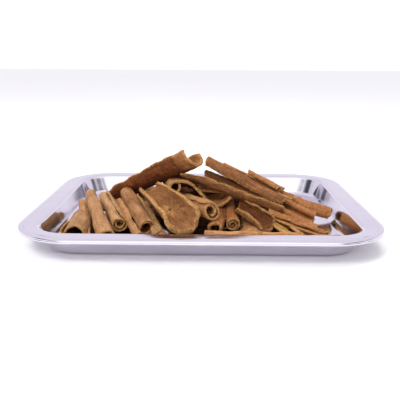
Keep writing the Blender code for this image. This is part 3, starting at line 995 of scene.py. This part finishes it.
class CINNAMON_OT_middle_quills(bpy.types.Operator):
    """Rolls the quills whose ends show in the middle"""

    bl_idname = "cinnamon.middle_quills"
    bl_label = "Middle quills"

    def execute(self, context):
        make_sticks(context, "middle_quills", MIDDLE_QUILLS, 12)
        return {"FINISHED"}


class CINNAMON_OT_right_quills(bpy.types.Operator):
    """Rolls the long quills that lean down to the right"""

    bl_idname = "cinnamon.right_quills"
    bl_label = "Right quills"

    def execute(self, context):
        make_sticks(context, "right_quills", RIGHT_QUILLS, 13)
        return {"FINISHED"}


class CINNAMON_OT_open_curls(bpy.types.Operator):
    """Bends the half-open curls"""

    bl_idname = "cinnamon.open_curls"
    bl_label = "Open curls"

    def execute(self, context):
        make_sticks(context, "open_curls", OPEN_CURLS, 14)
        return {"FINISHED"}


class CINNAMON_OT_strips(bpy.types.Operator):
    """Splits the narrow strips"""

    bl_idname = "cinnamon.strips"
    bl_label = "Strips"

    def execute(self, context):
        make_sticks(context, "bark_strips", STRIPS, 15)
        return {"FINISHED"}


class CINNAMON_OT_scoop(bpy.types.Operator):
    """Bends the wide scoop-shaped curl"""

    bl_idname = "cinnamon.scoop"
    bl_label = "Scoop curl"

    def execute(self, context):
        sizes = context.scene.cinnamon_bark
        tan, russet = tuple(sizes.tan), tuple(sizes.russet)
        pale_inside = srgb(150, 100, 60)
        finish = bark_finish("knotted bark", sizes, tan, russet, pale_inside, knot=KNOTS["scoop_curl"])
        make_sticks(context, "scoop_curl", SCOOP, 16, material=finish)
        return {"FINISHED"}


class CINNAMON_OT_top_curl(bpy.types.Operator):
    """Lays the large dark curl across the top"""

    bl_idname = "cinnamon.top_curl"
    bl_label = "Dark curl on top"

    def execute(self, context):
        sizes = context.scene.cinnamon_bark
        dark = tuple(sizes.dark)
        finish = bark_finish(
            "dark bark", sizes, shade(dark, 1.3), dark, tuple(sizes.inside), srgb(150, 84, 36), pale_from=94
        )
        make_sticks(context, "top_curl", TOP_CURL, 17, material=finish)
        return {"FINISHED"}


class CINNAMON_OT_underneath(bpy.types.Operator):
    """Rolls the sticks behind and under the others"""

    bl_idname = "cinnamon.underneath"
    bl_label = "Sticks underneath"

    def execute(self, context):
        make_sticks(context, "under_sticks", UNDERNEATH, 18, hidden=True)
        return {"FINISHED"}


# The core's mounds: the height of their foot, how lumpy they are, and tone, warmth and paleness; their tone
# of 0 is painted shade, so the core shows as deep shade in the gaps between sticks
MOUND_FOOT = 1.0
MOUND_LUMPS = 0.07
MOUND_SHADED_LOOK = (0.0, 0.6, 0.0)


def mound_mesh(mound, rng, around=48, rings=16):
    """A lumpy mound as (points, quads, grain, look), in millimetres."""
    turn = np.linspace(0, 2 * math.pi, around, endpoint=False)[:, None]
    lean = np.linspace(0, math.pi / 2 - 0.02, rings)[None, :]
    lump = 1 + MOUND_LUMPS * ripples(rng, np.cos(turn) * 3 + lean * 2, np.sin(turn) * 3, 1.4, 1.4)
    x = mound.x + mound.half_x * np.cos(turn) * np.cos(lean) * lump
    y = mound.y + mound.half_y * np.sin(turn) * np.cos(lean) * lump
    z = MOUND_FOOT + mound.height * np.sin(lean) * lump * np.ones_like(turn)
    shell = np.stack([x, y, z], -1).transpose(1, 0, 2).reshape(-1, 3)
    quads = [ring_quads(around, rings - 1)]
    centre = len(shell)
    middles = [(mound.x, mound.y, MOUND_FOOT), (mound.x, mound.y, MOUND_FOOT + mound.height)]
    points = np.concatenate([shell, middles])
    top = (rings - 1) * around
    pairs = np.arange(0, around, 2)
    for base, tip in ((0, centre), (top, centre + 1)):
        tips = np.full(around // 2, tip)
        quads.append(np.stack([base + pairs, base + pairs + 1, base + (pairs + 2) % around, tips], -1))
    look = np.tile(MOUND_SHADED_LOOK, (len(points), 1))
    return points, np.concatenate(quads), points.copy(), look


class CINNAMON_OT_core(bpy.types.Operator):
    """Heaps dark mounds in the bark's finish that fill the middle of the heap, dark as painted shade where
    gaps show them
    """

    bl_idname = "cinnamon.core"
    bl_label = "Core"

    def execute(self, context):
        rng = np.random.default_rng(19)
        bark_object("heap_core", [mound_mesh(mound, rng) for mound in CORE], common_bark(context))
        return {"FINISHED"}


def soft_box(name, place, size, watts, aim):
    """A rectangular light at this place, turned to the aim."""
    light = bpy.data.lights.new(name, "AREA")
    light.shape = "RECTANGLE"
    light.size, light.size_y = size
    light.energy = watts
    lamp = bpy.data.objects.new(name, light)
    lamp.location = place
    lamp.rotation_euler = (Vector(aim) - Vector(place)).to_track_quat("-Z", "Y").to_euler()
    lamp.visible_glossy = False
    bpy.context.scene.collection.objects.link(lamp)


# Colours of the surroundings: all round, behind the tray, behind the camera and on the screens
WHITE = (0.99, 0.98, 1.0)
HAZE = (0.86, 0.825, 0.92)
GLOW = (1.4, 1.4, 1.42)
SCREEN = (0.05, 0.055, 0.085)


def surroundings(scene, strength):
    """White all round, hazy behind the tray and brighter behind the camera, with patchy dark
    screens at both sides that the polished steel mirrors."""
    scene.world = bpy.data.worlds.new("white studio")
    graph = Graph(scene.world, "Background")
    facing = graph.place("Generated")
    right, back, up = graph.split(facing)
    sideways = graph.math("ABSOLUTE", right)
    haze = graph.times(graph.remap(back, 0.0, 0.3), graph.remap(up, 0.1, 0.18))
    glow = graph.remap(back, -0.2, -0.75)
    screens = graph.times(
        graph.remap(sideways, 0.3, 0.6),
        graph.remap(sideways, 1.0, 0.85),
        graph.remap(up, 0.0, 0.2),
        graph.remap(up, 0.92, 0.6),
        graph.remap(back, 0.3, 0.15),
        graph.remap(graph.noise(facing, (1.9, 1.9, 1.9), 2, 0.5), 0.36, 0.54),
    )
    color = graph.mix(glow, graph.mix(haze, WHITE, HAZE), GLOW)
    graph.feed(graph.main["Color"], graph.mix(screens, color, SCREEN))
    graph.main["Strength"].default_value = strength


class CINNAMON_OT_studio(bpy.types.Operator):
    """Sets the floor, the white surroundings, the lights and the camera"""

    bl_idname = "cinnamon.studio"
    bl_label = "Studio"

    def execute(self, context):
        scene = context.scene
        sizes = scene.cinnamon_stage
        bpy.ops.mesh.primitive_plane_add(size=12, location=(0, 0, TRAY_LOW[2]))
        floor = context.object
        floor.name = "studio_floor"
        floor.data.materials.append(floor_finish((0.96, 0.96, 0.965)))

        surroundings(scene, sizes.daylight)
        soft_box("key_light", (-0.5, -0.7, 0.9), (0.5, 0.4), 7, (0, 0, 0.02))
        soft_box("top_light", (0.1, 0.1, 1.2), (0.6, 0.4), 4, (0, 0, 0))

        level, rise = math.cos(sizes.elevation), math.sin(sizes.elevation)
        back = Vector((math.sin(sizes.azimuth) * level, -math.cos(sizes.azimuth) * level, rise))
        camera = bpy.data.cameras.new("camera")
        camera.lens = sizes.lens
        camera.sensor_width = 36
        camera.clip_start = 0.01
        eye = bpy.data.objects.new("camera", camera)
        turned = (-back).to_track_quat("-Z", "Y").to_matrix() @ Matrix.Rotation(sizes.roll, 3, "Z")
        place = Vector(sizes.target) + back * sizes.distance
        eye.matrix_world = Matrix.Translation(place) @ turned.to_4x4()
        scene.collection.objects.link(eye)
        scene.camera = eye
        scene.view_settings.view_transform = "Standard"
        return {"FINISHED"}


PIECES = (
    CINNAMON_OT_tray,
    CINNAMON_OT_left_quills,
    CINNAMON_OT_middle_quills,
    CINNAMON_OT_right_quills,
    CINNAMON_OT_open_curls,
    CINNAMON_OT_strips,
    CINNAMON_OT_scoop,
    CINNAMON_OT_top_curl,
    CINNAMON_OT_underneath,
    CINNAMON_OT_core,
    CINNAMON_OT_studio,
)


class CINNAMON_PT_panel(bpy.types.Panel):
    """Lists the pieces in the 3D view's sidebar"""

    bl_idname = "CINNAMON_PT_panel"
    bl_label = "Cinnamon sticks"
    bl_space_type = "VIEW_3D"
    bl_region_type = "UI"
    bl_category = "Cinnamon"

    def draw(self, context):
        for piece in PIECES:
            self.layout.operator(piece.bl_idname)


CLASSES = (TraySizes, BarkSizes, StageSizes, *PIECES, CINNAMON_PT_panel)


def register():
    for each in CLASSES:
        bpy.utils.register_class(each)
    bpy.types.Scene.cinnamon_tray = bpy.props.PointerProperty(type=TraySizes)
    bpy.types.Scene.cinnamon_bark = bpy.props.PointerProperty(type=BarkSizes)
    bpy.types.Scene.cinnamon_stage = bpy.props.PointerProperty(type=StageSizes)


def unregister():
    del bpy.types.Scene.cinnamon_stage
    del bpy.types.Scene.cinnamon_bark
    del bpy.types.Scene.cinnamon_tray
    for each in reversed(CLASSES):
        bpy.utils.unregister_class(each)


def main():
    register()
    for piece in PIECES:
        group, name = piece.bl_idname.split(".")
        getattr(getattr(bpy.ops, group), name)()


if __name__ == "__main__":
    main()
